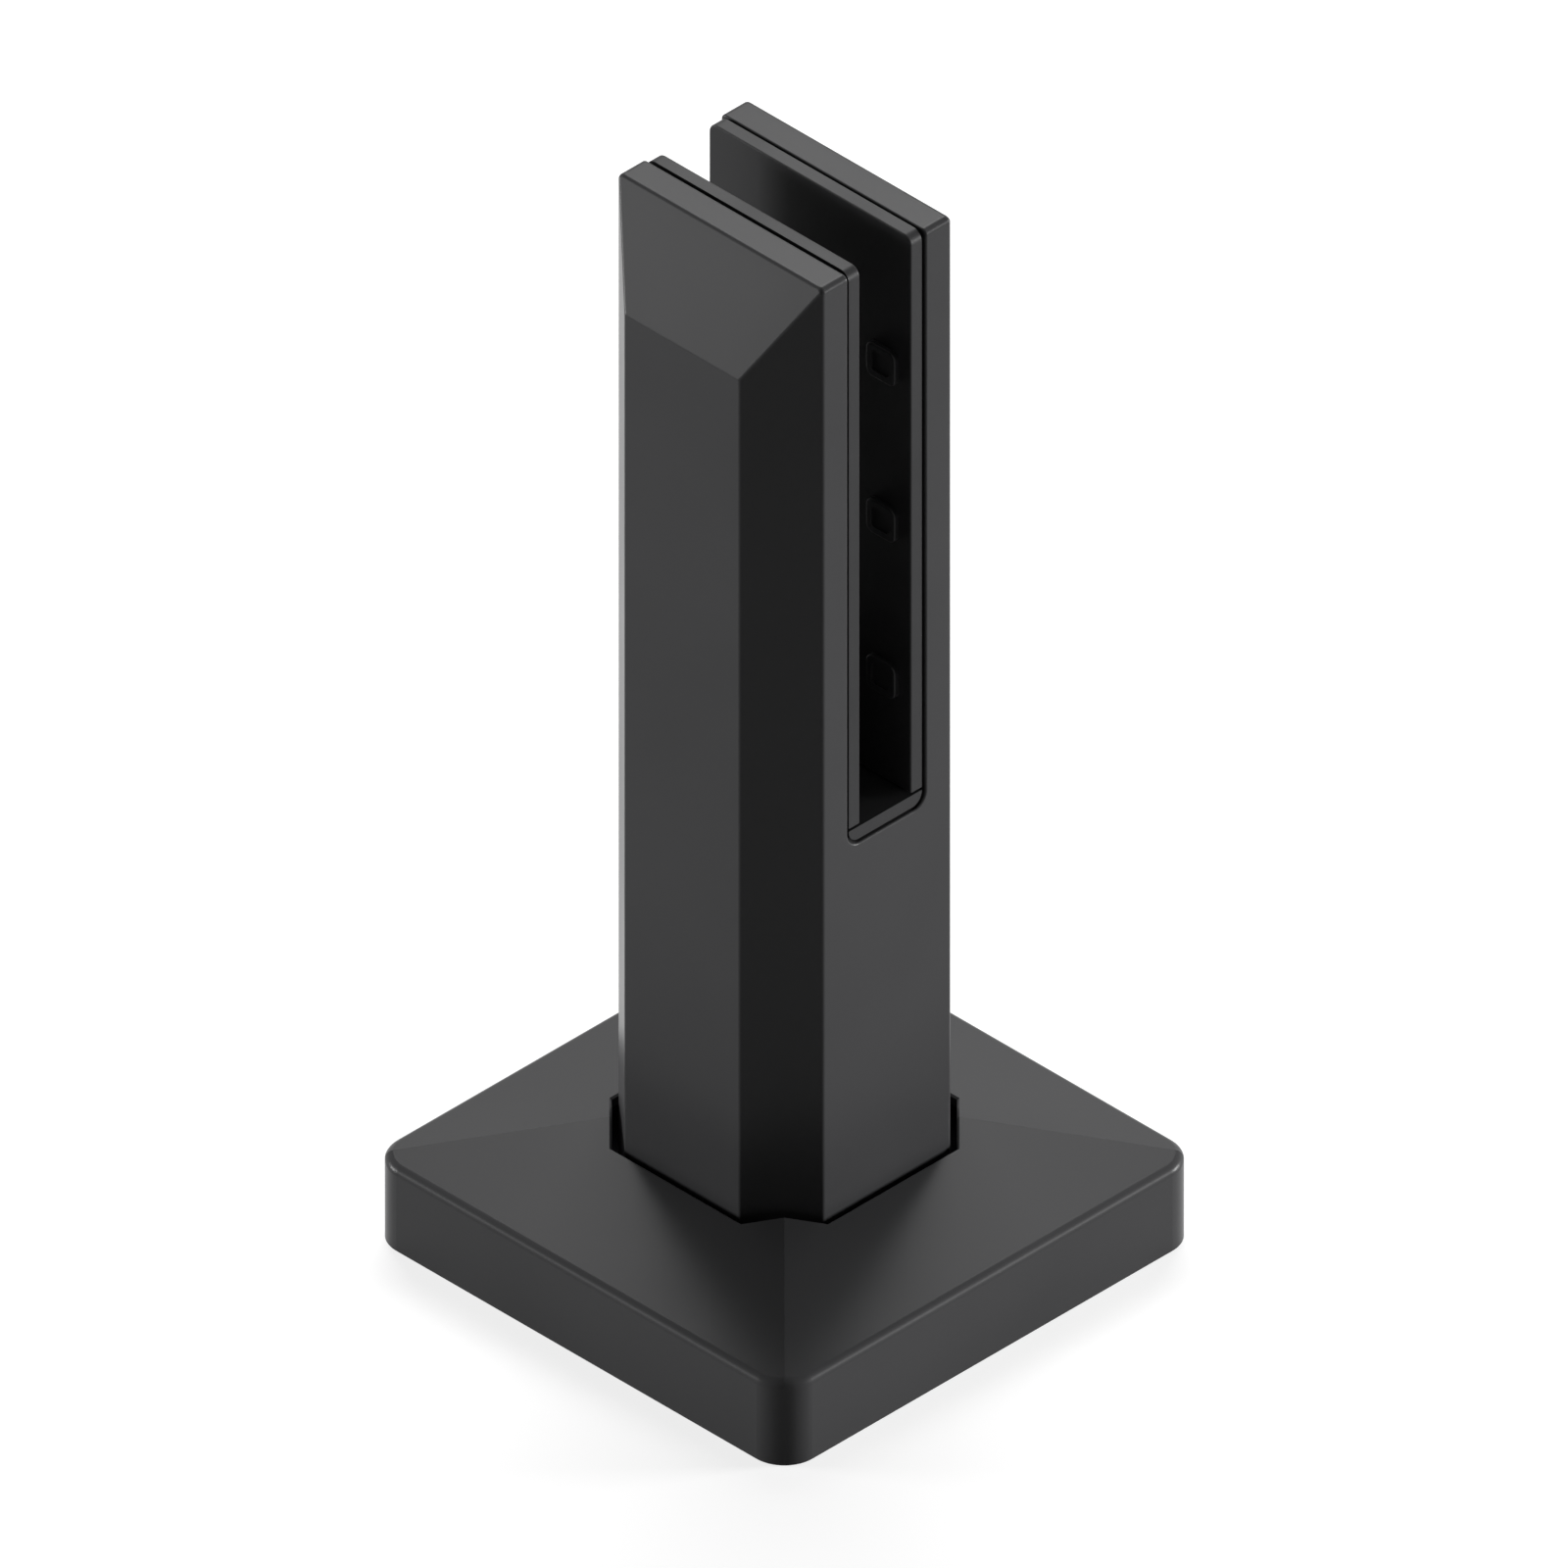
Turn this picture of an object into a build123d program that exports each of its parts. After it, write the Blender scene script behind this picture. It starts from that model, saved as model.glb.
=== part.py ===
from build123d import *
from math import cos, radians, tan
import os

# Glass balustrade spigot: a square post that clamps the lower edge of a glass panel
#
# X runs along the panel, Y through its thickness and Z up. The origin is the middle
# of the foot, on the floor. The clamp screws are in the rear jaw, on the +Y side.
# All lengths are in millimetres.

# Post
post_width = 50.0            # along X, between the plain side faces
post_depth = 50.0            # along Y, between the raised front and back panels
post_top = 219.6             # top of both jaws above the floor
corner_cut_x = 11.0          # each upright corner chamfer, measured along X
corner_cut_y = 9.55          # and along Y
bevel_height = 19.8          # sloping face at the top of the front and back panels
jaw_corner_radius = 1.2      # upper corners of the jaws, seen from the front
post_edge_radius = 0.8       # softened outer edges

# Glass slot
slot_width = 19.0
slot_depth = 121.0           # from the top of the jaws down to the slot's floor
slot_corner_radius = 3.0
slot_edge_radius = 0.4

# Liners and setting block
liner_thickness = 2.7
shadow_gap = 0.6             # dark groove between a liner and what it lies against
shadow_depth = 3.0           # how far that groove runs in from a liner's edge
liner_end_recess = 0.4       # liner ends stand back from the post's side faces
liner_corner_radius = 2.0
liner_edge_radius = 0.3
block_thickness = 2.6
grip_pad_size = 7.0
grip_pad_height = 1.1
grip_pad_corner = 1.5
grip_pad_edge = 0.3
grip_pad_offset_x = 18.2     # each column of pads from the middle of the liner
grip_recess_size = 4.2       # shallow square recess in the face of a pad
grip_recess_corner = 0.8
grip_recess_depth = 0.3
peg_radius = 2.5             # moulded pegs that hang a liner on its backing
peg_length = 3.0
peg_clearance = 0.1

# Clamp
row_below_top = 29.3         # highest clamp screw and grip pads, from the top of the jaws
row_pitch = 33.0
row_count = 3
plate_width = 30.0
plate_margin = 11.0          # plate beyond the outer screws
plate_thickness = 4.0
plate_corner_radius = 5.0
plate_clearance = 0.3        # round and behind the plate in its pocket
screw_radius = 4.0           # nominal M8
thread_clearance = 0.05      # radial, between a screw and its tapped hole
clamp_screw_recess = 1.0     # outer end of a clamp screw below the rear face
dog_radius = 2.75            # plain point that turns in the plate's seat
dog_length = 2.0
dog_seat_depth = 1.5
dog_clearance = 0.08
clamp_socket_flats = 4.0
clamp_socket_depth = 5.0
hole_lead_in = 0.5           # small countersink at each tapped hole

# Base plate and its screws
base_thickness = 10.0
base_edge_chamfer = 0.8
anchor_edge_distance = 10.4  # middle of an anchor hole from the plate's edges
anchor_hole_radius = 5.5
base_screw_pitch = 28.0
base_screw_length = 25.0
base_screw_recess = 0.4      # head below the underside of the plate
base_head_radius = 8.0
base_hole_radius = 4.5
base_socket_flats = 5.0
base_socket_depth = 3.0
tapped_depth_extra = 3.0     # tapped hole beyond the end of its screw
drill_point_height = 2.4

# Base cover
cover_side = 101.4
cover_corner_radius = 6.8
cover_wall_height = 17.1     # upright wall, up to where the sloping top begins
cover_slope = 15.0           # degrees
cover_rim_radius = 1.8       # where the wall turns into the sloping top
cover_opening_cut = 10.5     # corner cut of the opening for the post, along X and Y
cover_opening_edge = 0.4     # chamfer round the opening
cover_thickness = 2.0
cover_post_clearance = 1.3
cover_plate_clearance = 0.3

# Values that follow from the ones above
slot_floor = post_top - slot_depth
slot_wall_y = slot_width / 2
liner_back_y = slot_wall_y - shadow_gap
liner_face_y = liner_back_y - liner_thickness
liner_width = post_width - 2 * liner_end_recess
block_top = slot_floor + shadow_gap + block_thickness
liner_bottom = block_top + shadow_gap
row_lowest = post_top - row_below_top - row_pitch * (row_count - 1)
row_heights = [row_lowest + row_pitch * i for i in range(row_count)]
row_middle = row_lowest + row_pitch * (row_count - 1) / 2
peg_heights = [z + row_pitch / 2 for z in row_heights[:-1]]
plate_height = row_pitch * (row_count - 1) + 2 * plate_margin
plate_back_y = slot_wall_y + plate_thickness
pocket_floor_y = plate_back_y + plate_clearance
clamp_tip_y = plate_back_y - dog_seat_depth
clamp_screw_length = post_depth / 2 - clamp_screw_recess - clamp_tip_y
tapped_radius = screw_radius
thread_radius = screw_radius - thread_clearance
base_side = cover_side - 2 * (cover_thickness + cover_plate_clearance)
base_corner_radius = cover_corner_radius - cover_thickness - cover_plate_clearance
anchor_pitch = base_side - 2 * anchor_edge_distance
big = 4 * post_top


def upright_plane(y):
    """Plane parallel to the front of the post, at this Y, whose local axes are X and Z."""
    return Plane(origin=(0, y, 0), x_dir=(1, 0, 0), z_dir=(0, -1, 0))


def round_bar(radius, y_low, y_high, x, z):
    """Cylinder along Y between two places, centred on x and z."""
    disc = upright_plane(y_high) * Pos(x, z) * Circle(radius)
    return extrude(disc, y_high - y_low)


def cut_corner_outline(width, depth, cut_x, cut_y):
    """Plan of a rectangle, along X and Y, whose four corners are cut."""
    half_x = width / 2
    half_y = depth / 2
    corner = [(half_x - cut_x, half_y), (half_x, half_y - cut_y)]
    right = corner + [(x, -y) for x, y in reversed(corner)]
    left = [(-x, -y) for x, y in right]
    return make_face(Polyline(*right, *left, close=True))


def slot_profile(width, floor, radius):
    """Outline of the slot in the YZ plane: open at the top, rounded at the bottom."""
    top = post_top + shadow_depth
    sheet = Rectangle(width, top - floor, align=(Align.CENTER, Align.MIN))
    bottom = sheet.vertices().group_by(Axis.Y)[0]
    return Plane.YZ * Pos(0, floor) * fillet(bottom, radius)


def top_rounded_panel(width, bottom, top, radius):
    """Panel in local X and Z whose two upper corners are rounded."""
    sheet = Rectangle(width, top - bottom, align=(Align.CENTER, Align.MIN))
    upper = sheet.vertices().group_by(Axis.Y)[-1]
    return Pos(0, bottom) * fillet(upper, radius)


# Post

def post_blank():
    """Chamfered bar with sloping faces at the top of its front and back, edges softened."""
    outline = cut_corner_outline(post_width, post_depth, corner_cut_x, corner_cut_y)
    bar = Pos(0, 0, base_thickness) * extrude(outline, post_top - base_thickness)
    front_view = top_rounded_panel(post_width, 0, post_top, jaw_corner_radius)
    bar &= extrude(upright_plane(0) * front_view, post_depth, both=True)
    half_y = post_depth / 2
    wedge = Plane.YZ * make_face(Polyline(
        (half_y - corner_cut_y, post_top),
        (half_y, post_top - bevel_height),
        (half_y + bevel_height, post_top - bevel_height),
        (half_y + bevel_height, post_top + bevel_height),
        (half_y - corner_cut_y, post_top + bevel_height),
        close=True,
    ))
    bevel = extrude(wedge, post_width, both=True)
    bar -= bevel + mirror(bevel, Plane.XZ)
    outer = bar.edges().filter_by(lambda edge: edge.center().Z > base_thickness + post_edge_radius)
    return fillet(outer, post_edge_radius)


def tapped_hole_from_below(x, y):
    """Blind hole for a base screw, with a lead-in and a drill point."""
    depth = base_screw_recess + base_screw_length - base_thickness + tapped_depth_extra
    hole = Pos(0, 0, depth / 2) * Cylinder(tapped_radius, depth)
    point = Cone(tapped_radius, 0, drill_point_height, align=(Align.CENTER, Align.CENTER, Align.MIN))
    lead_in = Cone(tapped_radius + hole_lead_in, tapped_radius, hole_lead_in,
                   align=(Align.CENTER, Align.CENTER, Align.MIN))
    return Pos(x, y, base_thickness) * (hole + Pos(0, 0, depth) * point + lead_in)


def clamp_hole(z):
    """Tapped hole through the rear jaw, with a lead-in at its outer end."""
    outer = post_depth / 2
    bore = round_bar(tapped_radius, slot_wall_y, outer, 0, z)
    lead_in = Cone(tapped_radius + hole_lead_in, tapped_radius, hole_lead_in,
                   align=(Align.CENTER, Align.CENTER, Align.MIN))
    return bore + Pos(0, outer, z) * Rot(90, 0, 0) * lead_in


def plate_pocket():
    """Recess in the rear wall of the slot that takes the pressure plate."""
    grow = 2 * plate_clearance
    outline = RectangleRounded(plate_width + grow, plate_height + grow,
                               plate_corner_radius + plate_clearance)
    placed = upright_plane(pocket_floor_y) * Pos(0, row_middle) * outline
    return extrude(placed, pocket_floor_y - slot_wall_y + shadow_gap)


def make_post():
    """One-piece post: two jaws above a solid foot, with every hole it carries."""
    post = post_blank()
    slot = extrude(slot_profile(slot_width, slot_floor, slot_corner_radius), post_width, both=True)
    post -= slot
    lip = post.edges().filter_by(
        lambda edge: edge.center().Z > slot_floor - slot_edge_radius
        and abs(edge.center().Y) < slot_wall_y + slot_edge_radius
        and (abs(edge.center().X) > post_width / 2 - jaw_corner_radius
             or edge.center().Z > post_top - slot_edge_radius)
    )
    post = fillet(lip, slot_edge_radius)
    post -= plate_pocket()
    for z in row_heights:
        post -= clamp_hole(z)
    for z in peg_heights:
        reach = peg_length + 2 * peg_clearance
        post -= round_bar(peg_radius + peg_clearance, -slot_wall_y - reach, -slot_wall_y, 0, z)
    for place in GridLocations(base_screw_pitch, base_screw_pitch, 2, 2):
        post -= tapped_hole_from_below(place.position.X, place.position.Y)
    return post


# Liners, setting block and pressure plate

def grip_pad(x, z):
    """Raised soft square on a liner's glass side, with a shallow recess in its face."""
    outline = RectangleRounded(grip_pad_size, grip_pad_size, grip_pad_corner)
    pad = extrude(upright_plane(liner_face_y) * Pos(x, z) * outline, grip_pad_height)
    face = pad.faces().sort_by(Axis.Y)[0]
    pad = fillet(face.edges(), grip_pad_edge)
    front = liner_face_y - grip_pad_height
    sunk = RectangleRounded(grip_recess_size, grip_recess_size, grip_recess_corner)
    placed = upright_plane(front + grip_recess_depth) * Pos(x, z) * sunk
    return pad - extrude(placed, grip_recess_depth)


def make_rear_liner():
    """Moulded liner of the rear jaw: thin panel, grip pads in front, seat and pegs behind."""
    panel = top_rounded_panel(liner_width, liner_bottom, post_top, liner_corner_radius)
    liner = extrude(upright_plane(liner_back_y) * panel, liner_thickness)
    face = liner.faces().sort_by(Axis.Y)[0]
    liner = fillet(face.edges(), liner_edge_radius)
    seat_width = liner_width - 2 * shadow_depth
    seat = top_rounded_panel(seat_width, liner_bottom + shadow_depth, post_top - shadow_depth,
                             liner_corner_radius)
    liner += extrude(upright_plane(slot_wall_y) * seat, shadow_gap)
    for x in (-grip_pad_offset_x, grip_pad_offset_x):
        for z in row_heights:
            liner += grip_pad(x, z)
    for z in peg_heights:
        liner += round_bar(peg_radius, liner_back_y, slot_wall_y + peg_length, 0, z)
    return liner


def make_setting_block():
    """Pad that carries the panel's lower edge, on a narrower foot that makes the dark groove."""
    profile = slot_profile(2 * liner_back_y, slot_floor + shadow_gap, slot_corner_radius - shadow_gap)
    block = extrude(profile, liner_width / 2, both=True)
    block -= Pos(0, 0, block_top) * Box(big, big, big, align=(Align.CENTER, Align.CENTER, Align.MIN))
    foot_width = 2 * (liner_back_y - shadow_depth)
    foot = Box(liner_width - 2 * shadow_depth, foot_width, shadow_gap,
               align=(Align.CENTER, Align.CENTER, Align.MIN))
    return block + Pos(0, 0, slot_floor) * foot


def make_pressure_plate():
    """Plate behind the rear liner, with peg holes and a seat for each clamp screw."""
    outline = RectangleRounded(plate_width, plate_height, plate_corner_radius)
    plate = extrude(upright_plane(plate_back_y) * Pos(0, row_middle) * outline, plate_thickness)
    for z in peg_heights:
        plate -= round_bar(peg_radius + peg_clearance, slot_wall_y, plate_back_y, 0, z)
    for z in row_heights:
        plate -= round_bar(dog_radius + dog_clearance, clamp_tip_y, plate_back_y, 0, z)
    return plate


def hex_pocket(across_flats, depth):
    """Hexagonal socket that starts on the XY plane and goes up."""
    return extrude(RegularPolygon(across_flats / 2, 6, major_radius=False), depth)


def make_clamp_screw(z):
    """Headless M8 screw with a dog point, its socket facing out of the rear jaw."""
    body_length = clamp_screw_length - dog_length
    body = Cylinder(thread_radius, body_length, align=(Align.CENTER, Align.CENTER, Align.MIN))
    body = chamfer(body.edges(), hole_lead_in)
    body -= hex_pocket(clamp_socket_flats, clamp_socket_depth)
    dog = Cylinder(dog_radius, dog_length, align=(Align.CENTER, Align.CENTER, Align.MIN))
    dog = chamfer(dog.edges().sort_by(Axis.Z)[-1], hole_lead_in / 2)
    screw = body + Pos(0, 0, body_length) * dog
    return Pos(0, clamp_tip_y + clamp_screw_length, z) * Rot(90, 0, 0) * screw


# Base

def make_base_plate():
    """Square plate with corner holes for anchors and countersunk holes under the post."""
    plate = extrude(RectangleRounded(base_side, base_side, base_corner_radius), base_thickness)
    plate = chamfer(plate.faces().sort_by(Axis.Z)[-1].edges(), base_edge_chamfer)
    for place in GridLocations(anchor_pitch, anchor_pitch, 2, 2):
        plate -= Pos(place.position) * Cylinder(anchor_hole_radius, 2 * base_thickness)
    head_height = base_head_radius - screw_radius
    grow = thread_clearance
    sink = Cone(base_head_radius + grow, screw_radius + grow, head_height,
                align=(Align.CENTER, Align.CENTER, Align.MIN))
    for place in GridLocations(base_screw_pitch, base_screw_pitch, 2, 2):
        spot = Pos(place.position)
        plate -= spot * Cylinder(base_hole_radius, 2 * base_thickness)
        plate -= spot * Cylinder(base_head_radius + grow, 2 * base_screw_recess)
        plate -= spot * Pos(0, 0, base_screw_recess) * sink
    return plate


def make_base_screw(x, y):
    """Countersunk M8 screw that goes up through the base plate into the post."""
    head_height = base_head_radius - screw_radius
    up = (Align.CENTER, Align.CENTER, Align.MIN)
    shank = Cylinder(thread_radius, base_screw_length, align=up)
    shank = chamfer(shank.edges().sort_by(Axis.Z)[-1], hole_lead_in)
    head = Cone(base_head_radius, screw_radius, head_height, align=up)
    screw = shank + head - hex_pocket(base_socket_flats, base_socket_depth)
    return Pos(x, y, base_screw_recess) * screw


def make_base_screws():
    """The four base screws, as separate solids of one node."""
    places = GridLocations(base_screw_pitch, base_screw_pitch, 2, 2)
    return Compound([make_base_screw(p.position.X, p.position.Y) for p in places])


def sloping_block(inset):
    """Rounded square block under one plane that rises towards the back."""
    side = cover_side - 2 * inset
    walls = extrude(RectangleRounded(side, side, cover_corner_radius - inset), cover_side)
    slope = tan(radians(cover_slope))
    apex = cover_wall_height + cover_side / 2 * slope - inset / cos(radians(cover_slope))
    reach = cover_side
    rise = reach * slope
    roof = make_face(Polyline((-reach, 0), (-reach, apex - rise), (reach, apex + rise), (reach, 0), close=True))
    return walls & extrude(Plane.YZ * roof, reach, both=True)


def cover_opening_outline():
    """Plan of the opening: the post's outline with play round it and even corner cuts."""
    width = post_width + 2 * cover_post_clearance
    depth = post_depth + 2 * cover_post_clearance
    return cut_corner_outline(width, depth, cover_opening_cut, cover_opening_cut)


def rounded_sloping_block(turn):
    """Such a block turned about Z, its rim rounded and the brim of the post's opening chamfered."""
    opening = extrude(cover_opening_outline(), cover_side)
    block = sloping_block(0) - Rot(0, 0, -turn) * opening
    slope_face = block.faces().sort_by(Axis.Z)[-1]
    brim = slope_face.inner_wires()[0].edges()
    block = chamfer(brim, cover_opening_edge)
    slope_face = block.faces().filter_by(lambda face: len(face.inner_wires()) > 0).sort_by(Axis.Z)[-1]
    rim = slope_face.outer_wire().edges()
    return Rot(0, 0, turn) * fillet(rim, cover_rim_radius)


def make_base_cover():
    """Thin shell with a low hipped top and an opening that follows the post's outline."""
    turns = (0, 90, 180, 270)
    cover = rounded_sloping_block(turns[0])
    hollow = sloping_block(cover_thickness)
    for turn in turns[1:]:
        cover &= rounded_sloping_block(turn)
        hollow &= Rot(0, 0, turn) * sloping_block(cover_thickness)
    return cover - hollow


rear_liner = make_rear_liner()
nodes = {
    "post": make_post(),
    "base_plate": make_base_plate(),
    "base_screws": make_base_screws(),
    "base_cover": make_base_cover(),
    "front_liner": mirror(rear_liner, Plane.XZ),
    "rear_liner": rear_liner,
    "setting_block": make_setting_block(),
    "pressure_plate": make_pressure_plate(),
}
for label, height in zip(("bottom", "middle", "top"), row_heights):
    nodes["clamp_screw_" + label] = make_clamp_screw(height)

os.makedirs("parts", exist_ok=True)
for name, solid in nodes.items():
    export_step(solid, "parts/" + name + ".step")
    print(name, len(solid.solids()), round(solid.volume, 1))
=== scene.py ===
# %% [markdown]
# # A glass balustrade spigot, dressed for a picture
#
# A spigot is a short post that stands on a deck and clamps the lower edge of a glass
# panel. The solid model already gives every plate, hole and edge. This lesson adds what
# a solid model lacks: the black powder coat, the moulded rubber, the bare steel and the
# cut threads, and then the camera and the light.
#
# The solid model is loaded first, and everything after it uses its frame: metres, X
# along the panel, Y through its thickness, Z up, with the origin on the floor.

# %% Load the solid model
import bmesh
import bpy
import numpy as np
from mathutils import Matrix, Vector


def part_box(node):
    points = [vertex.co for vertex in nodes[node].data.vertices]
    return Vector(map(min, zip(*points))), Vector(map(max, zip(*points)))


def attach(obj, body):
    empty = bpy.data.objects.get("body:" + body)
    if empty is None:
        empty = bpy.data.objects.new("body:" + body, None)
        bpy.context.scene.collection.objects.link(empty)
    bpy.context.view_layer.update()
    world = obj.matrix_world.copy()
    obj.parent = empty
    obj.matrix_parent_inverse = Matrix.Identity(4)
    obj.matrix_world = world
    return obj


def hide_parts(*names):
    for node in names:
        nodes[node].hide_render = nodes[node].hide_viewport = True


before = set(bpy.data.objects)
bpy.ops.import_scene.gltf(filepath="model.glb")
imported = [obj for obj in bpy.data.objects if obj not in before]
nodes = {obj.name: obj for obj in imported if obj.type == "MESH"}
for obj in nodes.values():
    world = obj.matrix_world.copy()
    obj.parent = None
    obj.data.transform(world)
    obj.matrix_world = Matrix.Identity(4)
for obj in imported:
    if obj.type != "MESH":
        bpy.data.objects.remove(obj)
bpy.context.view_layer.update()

print("nodes:", sorted(nodes))

# %% [markdown]
# ## Colours
#
# Colours are easiest to pick as the hexadecimal numbers of a paint program. Those are
# stored with a curve that suits screens, and the shader works with plain amounts of
# light, so one function undoes the curve. It uses the exact two-part formula and not a
# power of 2.2, because that would be wrong in the darks, and this object is nearly all dark.

# %% Hexadecimal colour to linear light
def linear(hex_colour):
    """Each channel c of an sRGB colour becomes c/12.92 below 0.04045, and ((c+0.055)/1.055)^2.4 above it."""
    c = np.array([int(hex_colour[i:i + 2], 16) for i in (1, 3, 5)]) / 255
    c = np.where(c <= 0.04045, c / 12.92, ((c + 0.055) / 1.055) ** 2.4)
    return (*c.tolist(), 1.0)


print("mid grey #808080 is", round(linear("#808080")[0], 4), "in linear light")

# %% [markdown]
# ## Building materials from nodes
#
# Every finish below is a small tree of nodes that ends in one Principled shader. Two
# helpers keep the trees short: one adds any node with its settings and links, and one
# starts a material with the shader and its coordinates. The coordinates are Object
# coordinates. They are in metres here, because every piece sits at the origin unscaled,
# so a pattern's scale is simply one over the size of its features.
#
# A noise rarely reaches 0 or 1: nearly all of it lies from 0.3 to 0.7. So that is the
# part which each finish stretches over its two colours or its two roughnesses.

# %% Helpers for node trees
def add_node(tree, kind, values=None, links=None, **settings):
    """Adds a node, sets its properties and socket values, and links the sockets named in links to it."""
    node = tree.nodes.new(kind)
    for name, value in settings.items():
        setattr(node, name, value)
    for name, value in (values or {}).items():
        node.inputs[name].default_value = value
    for name, source in (links or {}).items():
        tree.links.new(source, node.inputs[name])
    return node


def start_material(name, **shader_values):
    """A material with a Principled shader, and the Object coordinates its patterns read."""
    material = bpy.data.materials.new(name)
    material.use_nodes = True
    tree = material.node_tree
    tree.nodes.clear()
    values = {key.replace("_", " "): value for key, value in shader_values.items()}
    shader = add_node(tree, "ShaderNodeBsdfPrincipled", values)
    add_node(tree, "ShaderNodeOutputMaterial", links={"Surface": shader.outputs["BSDF"]})
    place = add_node(tree, "ShaderNodeTexCoord").outputs["Object"]
    return material, tree, shader, place


def noise(tree, place, feature_mm, detail=2.0):
    """Cloudy pattern whose features are about this many millimetres wide."""
    values = {"Scale": 1000.0 / feature_mm, "Detail": detail, "Roughness": 0.5}
    return add_node(tree, "ShaderNodeTexNoise", values, {"Vector": place}).outputs["Fac"]


noise_low, noise_high = 0.3, 0.7


def spread(tree, source, low, high):
    """Turns the noise range into the range from low to high, along a straight line."""
    values = {"From Min": noise_low, "From Max": noise_high, "To Min": low, "To Max": high}
    return add_node(tree, "ShaderNodeMapRange", values, {"Value": source}).outputs["Result"]


def two_tones(tree, source, first, second):
    """Colour that goes from first to second as the noise rises through its range."""
    ramp = add_node(tree, "ShaderNodeValToRGB", links={"Fac": source})
    ramp.color_ramp.elements[0].position = noise_low
    ramp.color_ramp.elements[0].color = linear(first)
    ramp.color_ramp.elements[1].position = noise_high
    ramp.color_ramp.elements[1].color = linear(second)
    return ramp.outputs["Color"]


def bumps(tree, shader, height, depth_mm, strength=1.0):
    """Lets a height pattern tilt the surface as if it were this many millimetres deep."""
    values = {"Strength": strength, "Distance": depth_mm / 1000}
    bump = add_node(tree, "ShaderNodeBump", values, {"Height": height})
    tree.links.new(bump.outputs["Normal"], shader.inputs["Normal"])


# %% [markdown]
# ## Black powder coat
#
# Powder coat is sprayed on dry and melted in an oven. It flows out nearly flat and keeps
# a faint orange peel, waves about a millimetre wide and a few thousandths deep. Satin
# black reflects little: the coat's base is a dark neutral grey, and a wide soft
# highlight does the rest. A slow change of roughness keeps large flat faces from looking
# printed.

# %% Satin black powder coat on aluminium
# Polyester powder coat in satin black. Refractive index 1.5, matted, so its highlight is weak and wide.
cloud_mm, peel_mm, peel_depth_mm = 45.0, 1.1, 0.004
powder_coat, tree, shader, place = start_material(
    "satin_black_powder_coat", Metallic=0.0, IOR=1.5, Specular_IOR_Level=0.1)
cloud = noise(tree, place, cloud_mm)
tree.links.new(two_tones(tree, cloud, "#353536", "#39393a"), shader.inputs["Base Color"])
tree.links.new(spread(tree, cloud, 0.28, 0.34), shader.inputs["Roughness"])
peel = noise(tree, place, peel_mm, detail=1.0)
bumps(tree, shader, peel, peel_depth_mm)
print("made", powder_coat.name)

# %% [markdown]
# ## Moulded rubber
#
# The liners and the setting block are EPDM rubber, moulded in an eroded steel tool. The
# tool leaves a fine even grain, about a third of a millimetre across, and rubber
# scatters light more widely than paint. A bloom of wax makes its colour slightly uneven.

# %% Moulded black rubber
# Black EPDM rubber, moulded. Refractive index 1.5, matte, a shade deeper than the paint.
bloom_mm, grain_mm, grain_depth_mm = 18.0, 0.35, 0.006
rubber, tree, shader, place = start_material(
    "moulded_black_rubber", Metallic=0.0, IOR=1.5, Specular_IOR_Level=0.13)
bloom = noise(tree, place, bloom_mm, detail=3.0)
tree.links.new(two_tones(tree, bloom, "#272728", "#2b2b2c"), shader.inputs["Base Color"])
tree.links.new(spread(tree, bloom, 0.38, 0.46), shader.inputs["Roughness"])
grain = noise(tree, place, grain_mm, detail=1.0)
bumps(tree, shader, grain, grain_depth_mm)
print("made", rubber.name)

# %% [markdown]
# ## Bare steel
#
# The clamp's plate and screws are stainless steel, rolled or turned, and the base plate
# and its screws are zinc plated. A metal's colour is the colour of its highlight. The
# plate shows fine rolling lines, which are a noise squeezed along one axis. Zinc shows
# a patchy bloom, slightly blue, and a rougher surface. On the real pieces the lines, the
# frost and the zinc crystals are finer than a tenth of a millimetre. They are drawn at
# about half a millimetre, so that they show.

# %% Stainless steel with rolling lines
# Austenitic stainless steel, cold rolled. Metal keeps the shader's default refractive index.
line_mm, line_depth_mm, line_squeeze = 0.4, 0.003, 0.04
stainless, tree, shader, place = start_material("rolled_stainless_steel", Metallic=1.0)
squeeze = add_node(tree, "ShaderNodeMapping", {"Scale": (1.0, 1.0, line_squeeze)}, {"Vector": place})
lines = noise(tree, squeeze.outputs["Vector"], line_mm)
tree.links.new(two_tones(tree, lines, "#a3a29e", "#b5b4b0"), shader.inputs["Base Color"])
tree.links.new(spread(tree, lines, 0.26, 0.36), shader.inputs["Roughness"])
bumps(tree, shader, lines, line_depth_mm)
print("made", stainless.name)

# %% Turned stainless steel for the clamp screws
# The same steel, thread rolled and passivated: a fine even frost with no direction.
frost_mm, frost_depth_mm = 0.6, 0.002
turned_steel, tree, shader, place = start_material("thread_rolled_stainless_steel", Metallic=1.0)
frost = noise(tree, place, frost_mm, detail=3.0)
tree.links.new(two_tones(tree, frost, "#8b8a86", "#9f9e9a"), shader.inputs["Base Color"])
tree.links.new(spread(tree, frost, 0.42, 0.52), shader.inputs["Roughness"])
bumps(tree, shader, frost, frost_depth_mm)
print("made", turned_steel.name)

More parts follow.
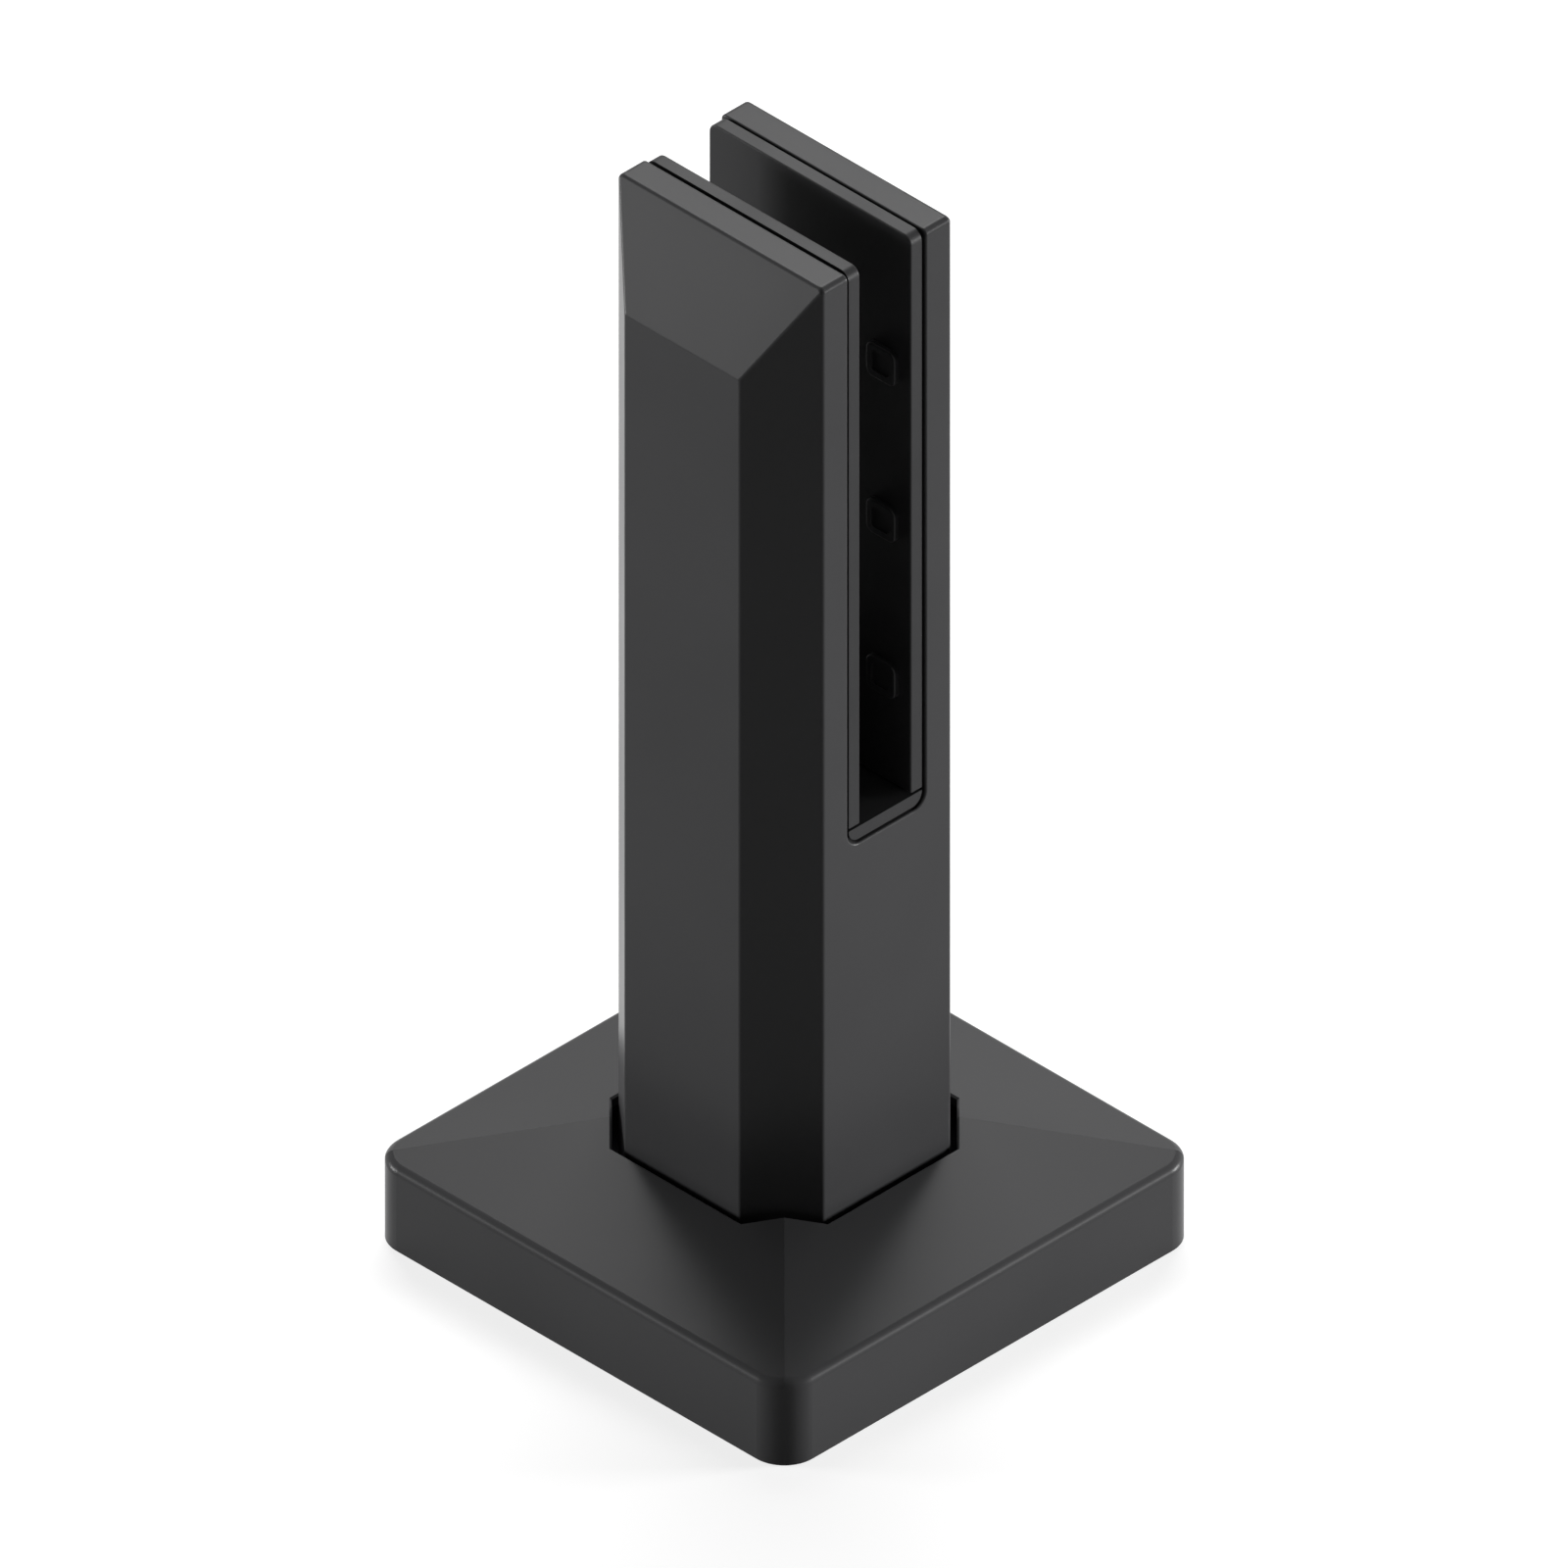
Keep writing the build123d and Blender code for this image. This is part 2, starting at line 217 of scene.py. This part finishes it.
# %% Zinc-plated steel
# Mild steel, electroplated with zinc and blue passivated: a dull silver with a cold cast.
patch_mm, crystal_mm, crystal_depth_mm = 9.0, 0.5, 0.004
zinc, tree, shader, place = start_material("blue_passivated_zinc", Metallic=1.0)
patches = noise(tree, place, patch_mm, detail=4.0)
tree.links.new(two_tones(tree, patches, "#868b92", "#989a99"), shader.inputs["Base Color"])
tree.links.new(spread(tree, patches, 0.60, 0.70), shader.inputs["Roughness"])
crystals = noise(tree, place, crystal_mm)
bumps(tree, shader, crystals, crystal_depth_mm)
print("made", zinc.name)

# %% [markdown]
# ## Finishes for the solid pieces
#
# The solids have their true shape already, so they only need a finish. A material is
# put into the slots that the object has. The mesh itself stays as it was loaded.

# %% Give each solid its finish
finishes = {
    "post": powder_coat,
    "base_cover": powder_coat,
    "front_liner": rubber,
    "rear_liner": rubber,
    "setting_block": rubber,
    "pressure_plate": stainless,
    "base_plate": zinc,
}
for name, finish in finishes.items():
    for material_slot in nodes[name].material_slots:
        material_slot.material = finish
    print(name, "is", finish.name)

# %% [markdown]
# ## Threaded screws
#
# A screw is one closed surface, and it can be drawn on one grid: the columns go round
# the axis, and the rows go from the middle of the socket's floor, up its hexagonal wall,
# over the end, along the thread and out to the middle of the tip. The thread's rows rise
# by one pitch in each turn, so the crest and the root are edges of the grid and stay
# sharp. A grid that cut across the thread would need ten times as many faces.
#
# The screws could also be made with a screw modifier, but then the ends and the socket
# would have to be cut with booleans, which leave long thin faces.

# %% Surface of a threaded screw
def screw_grid(flats, socket_depth, rings, start, end, crest, root, pitch, start_radius, end_radius,
               tip_rings, columns=48):
    """Radius and distance along the axis, for each row and column, in metres.

    The socket's radius is half the flats over the cosine of the angle from the middle of
    the nearest flat. A ring is a row with one radius and one distance. The thread's rows
    are at start + (turn + angle / a full turn) * pitch, held between start and end, and
    their radius is crest or root, but no more than the end radius plus the distance from
    that end, which is the chamfer.
    """
    angle = np.linspace(0, 2 * np.pi, columns + 1)
    one = np.ones_like(angle)
    hexagon = flats / 2 / np.cos(np.mod(angle, np.pi / 3) - np.pi / 6)
    radius = [0 * one, hexagon, hexagon] + [r * one for r, s in rings]
    along = [socket_depth * one, socket_depth * one, 0 * one] + [s * one for r, s in rings]

    phase = np.array([1, 6, 10, 15]) / 16
    turns = np.arange(-1, np.ceil((end - start) / pitch) + 1)
    turn = (turns[:, None] + phase[None, :]).ravel()
    level = np.tile([crest, root, root, crest], len(turns))
    s = np.clip(start + (turn[:, None] + angle[None, :] / (2 * np.pi)) * pitch, start, end)
    r = np.minimum(level[:, None], np.minimum(start_radius + s - start, end_radius + end - s))

    radius = np.vstack([*radius, r, *[r * one for r, s in tip_rings], 0 * one])
    along = np.vstack([*along, s, *[s * one for r, s in tip_rings], tip_rings[-1][1] * one])
    return angle, radius, along


def grid_mesh(name, grids):
    """One mesh from several grids of points, each an array of rows, columns and x, y, z, with faces outwards."""
    points, faces, first = [], [], 0
    for grid in grids:
        rows, columns = grid.shape[:2]
        index = first + np.arange(rows * columns).reshape(rows, columns)
        quads = np.stack([index[:-1, :-1], index[:-1, 1:], index[1:, 1:], index[1:, :-1]], -1)
        points.append(grid.reshape(-1, 3))
        faces.append(quads.reshape(-1, 4))
        first += rows * columns
    mesh = bpy.data.meshes.new(name)
    mesh.from_pydata(np.vstack(points).tolist(), [], np.vstack(faces).tolist())
    work = bmesh.new()
    work.from_mesh(mesh)
    bmesh.ops.remove_doubles(work, verts=work.verts, dist=1e-7)
    bmesh.ops.dissolve_degenerate(work, edges=work.edges, dist=1e-7)
    bmesh.ops.recalc_face_normals(work, faces=work.faces)
    work.to_mesh(mesh)
    work.free()
    mesh.polygons.foreach_set("use_smooth", np.ones(len(mesh.polygons), bool))
    mesh.set_sharp_from_angle(angle=np.radians(25))
    return mesh


def add_piece(mesh, material, body, replaced):
    """Puts a finished mesh in the scene, on a body, in place of the solid it stands for."""
    mesh.materials.append(material)
    piece = bpy.data.objects.new(mesh.name, mesh)
    bpy.context.scene.collection.objects.link(piece)
    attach(piece, body)
    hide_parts(replaced)
    mesh.calc_loop_triangles()
    print(piece.name, "has", len(mesh.loop_triangles), "triangles")


# %% [markdown]
# The clamp screws are M8 with a dog point: a pitch of 1.25 mm, a thread depth of 0.77 mm,
# a 4 mm hexagon socket, and a plain end that turns in the pressure plate. Their axis is
# -Y, and a right-hand thread about -Y turns from X towards Z. The solid gives each one's
# place: its box in Y is the screw's length, and the middle of its box in X and Z is its axis.

# %% Three clamp screws
mm = 0.001
m8_pitch, m8_thread_depth = 1.25 * mm, 0.77 * mm
dog_radius, dog_length, dog_chamfer = 2.75 * mm, 2.0 * mm, 0.25 * mm
for which in ("bottom", "middle", "top"):
    low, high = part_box("clamp_screw_" + which)
    length = high.y - low.y
    crest = (high.z - low.z) / 2
    root = crest - m8_thread_depth
    thread_end = length - dog_length
    angle, radius, along = screw_grid(
        flats=4.0 * mm, socket_depth=5.0 * mm, rings=[(root, 0)], start=0.0, end=thread_end,
        crest=crest, root=root, pitch=m8_pitch, start_radius=root, end_radius=root,
        tip_rings=[(dog_radius, thread_end), (dog_radius, length - dog_chamfer),
                   (dog_radius - dog_chamfer, length)])
    middle = (low + high) / 2
    grid = np.stack([middle.x + radius * np.cos(angle), high.y - along, middle.z + radius * np.sin(angle)], -1)
    add_piece(grid_mesh("threaded_clamp_screw_" + which, [grid]), turned_steel,
              which + "_screw_body", "clamp_screw_" + which)

# %% [markdown]
# The base screws are countersunk M8 screws. They come up from under the base plate, so
# their axis is +Z, and a right-hand thread about Z turns from X towards Y. The four are
# one piece, as the four solids are one node.

# %% Four countersunk base screws
low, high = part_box("base_screws")
head_radius, neck_radius = 8.0 * mm, 4.0 * mm
pitch_circle = (high.x - low.x) / 2 - head_radius
shank_radius, head_height = 3.95 * mm, 4.0 * mm
root_radius = shank_radius - m8_thread_depth
screw_length = high.z - low.z
angle, radius, along = screw_grid(
    flats=5.0 * mm, socket_depth=3.0 * mm, rings=[(head_radius, 0), (neck_radius, head_height)],
    start=head_height, end=screw_length, crest=shank_radius, root=root_radius, pitch=m8_pitch,
    start_radius=shank_radius, end_radius=root_radius, tip_rings=[(root_radius, screw_length)])
grids = [np.stack([x + radius * np.cos(angle), y + radius * np.sin(angle), low.z + along], -1)
         for x in (-pitch_circle, pitch_circle) for y in (-pitch_circle, pitch_circle)]
add_piece(grid_mesh("threaded_base_screws", grids), zinc, "post_body", "base_screws")

# %% [markdown]
# ## Floor and surroundings
#
# The picture has a white ground. The floor is a plain pale sheet. What the camera and
# mirror-like rays see of it is lifted to white with Light Path, so the ground is white
# without more light on the object, and the object's soft shadow still shows. The world
# does the same above the horizon, and gives a weak even light to everything else.

# %% Floor
def white_to_the_eye(tree):
    """1 for a ray from the camera, off a mirror or through glass, and 0 for a ray that carries light."""
    path = add_node(tree, "ShaderNodeLightPath")
    seen = path.outputs["Is Camera Ray"]
    for kind in ("Is Glossy Ray", "Is Transmission Ray"):
        both = add_node(tree, "ShaderNodeMath", operation="MAXIMUM")
        tree.links.new(seen, both.inputs[0])
        tree.links.new(path.outputs[kind], both.inputs[1])
        seen = both.outputs[0]
    return seen


floor_half, ground_grey, ground_glow = 4.0, 0.40, 0.77
corner = np.array([-floor_half, floor_half])
x, y = np.meshgrid(corner, corner, indexing="ij")
sheet = np.stack([x, y, 0 * x], -1).reshape(-1, 3)
floor_mesh = bpy.data.meshes.new("floor")
floor_mesh.from_pydata(sheet.tolist(), [], [(0, 2, 3, 1)])
floor = bpy.data.objects.new("floor", floor_mesh)
bpy.context.scene.collection.objects.link(floor)

ground = bpy.data.materials.new("pale_ground")
ground.use_nodes = True
tree = ground.node_tree
tree.nodes.clear()
matt = add_node(tree, "ShaderNodeBsdfDiffuse", {"Color": (ground_grey, ground_grey, ground_grey, 1.0)})
lift = add_node(tree, "ShaderNodeMath", {1: ground_glow}, operation="MULTIPLY")
tree.links.new(white_to_the_eye(tree), lift.inputs[0])
glow = add_node(tree, "ShaderNodeEmission", links={"Strength": lift.outputs[0]})
both = add_node(tree, "ShaderNodeAddShader")
tree.links.new(matt.outputs[0], both.inputs[0])
tree.links.new(glow.outputs[0], both.inputs[1])
add_node(tree, "ShaderNodeOutputMaterial", links={"Surface": both.outputs[0]})
floor_mesh.materials.append(ground)

# %% World
world = bpy.data.worlds.new("studio")
bpy.context.scene.world = world
world.use_nodes = True
tree = world.node_tree
tree.nodes.clear()
ambient = 0.03
level = add_node(tree, "ShaderNodeMapRange", {"To Min": ambient, "To Max": 1.0})
tree.links.new(white_to_the_eye(tree), level.inputs["Value"])
sky = add_node(tree, "ShaderNodeBackground", {"Color": (1.0, 1.0, 1.0, 1.0)},
               {"Strength": level.outputs["Result"]})
add_node(tree, "ShaderNodeOutputWorld", links={"Surface": sky.outputs[0]})
print("floor and world made")

# %% [markdown]
# ## Light
#
# The upper faces are the lightest, the two sides are darker and about equal, and the
# cut corner that points at the camera is nearly black. So no light comes from the camera's
# side. One wide soft lamp is high at the back. The flat tops and the cover's slopes
# mirror it, and the post shades the cover in front of it. Two lamps stand low at the
# sides, each in line with one of the two visible faces: being low, they light the
# upright faces and pass over the flat ones.

# %% Three soft lamps
lamp_distance = 1.6
object_middle = Vector((0.0, 0.0, 0.1))


def soft_lamp(name, direction, width, height, power):
    """Area lamp of that size in metres and power in watts, in that direction from the object, aimed at it."""
    data = bpy.data.lights.new(name, "AREA")
    data.shape = "RECTANGLE"
    data.size, data.size_y = width, height
    data.energy = power
    lamp = bpy.data.objects.new(name, data)
    bpy.context.scene.collection.objects.link(lamp)
    away = Vector(direction).normalized()
    lamp.location = object_middle + away * lamp_distance
    lamp.rotation_mode = "QUATERNION"
    lamp.rotation_quaternion = away.to_track_quat("Z", "Y")
    print(name, "at", [round(v, 2) for v in lamp.location])


soft_lamp("lamp_back", (-0.5, 0.5, 0.88), 0.95, 0.75, 22.0)
soft_lamp("lamp_left", (-0.77, -0.63, 0.07), 0.4, 0.4, 23.0)
soft_lamp("lamp_right", (0.63, 0.77, 0.06), 0.4, 0.4, 40.0)

# %% [markdown]
# ## Camera
#
# The picture is an isometric drawing: parallel edges stay parallel, and the three axes
# are equally short. That is a camera without perspective, turned 45 degrees and looking
# down at 35.26 degrees, so its direction is (1, -1, 1). The width of its frame comes
# from the scale of the picture, 5.92 pixels to a millimetre over 1600 pixels.

# %% Isometric camera
frame_pixels, pixels_per_mm, camera_distance = 1600, 5.92, 1.0
lens = bpy.data.cameras.new("camera")
lens.type = "ORTHO"
lens.ortho_scale = frame_pixels / pixels_per_mm / 1000
lens.clip_start, lens.clip_end = 0.01, 20.0
lens.dof.use_dof = False
camera = bpy.data.objects.new("camera", lens)
bpy.context.scene.collection.objects.link(camera)
toward = Vector((1.0, -1.0, 1.0)).normalized()
aim = Vector((-0.000048, -0.000048, 0.09517))
camera.location = aim + toward * camera_distance
camera.rotation_mode = "QUATERNION"
camera.rotation_quaternion = toward.to_track_quat("Z", "Y")
bpy.context.scene.camera = camera
bpy.context.scene.view_settings.view_transform = "Standard"
print("camera at", [round(v, 3) for v in camera.location])

# %% [markdown]
# ## Last step
#
# The view layer is brought up to date, so every piece stands where it was put. The
# finished model may not be larger than the solid model.

# %% Update the view layer
bpy.context.view_layer.update()
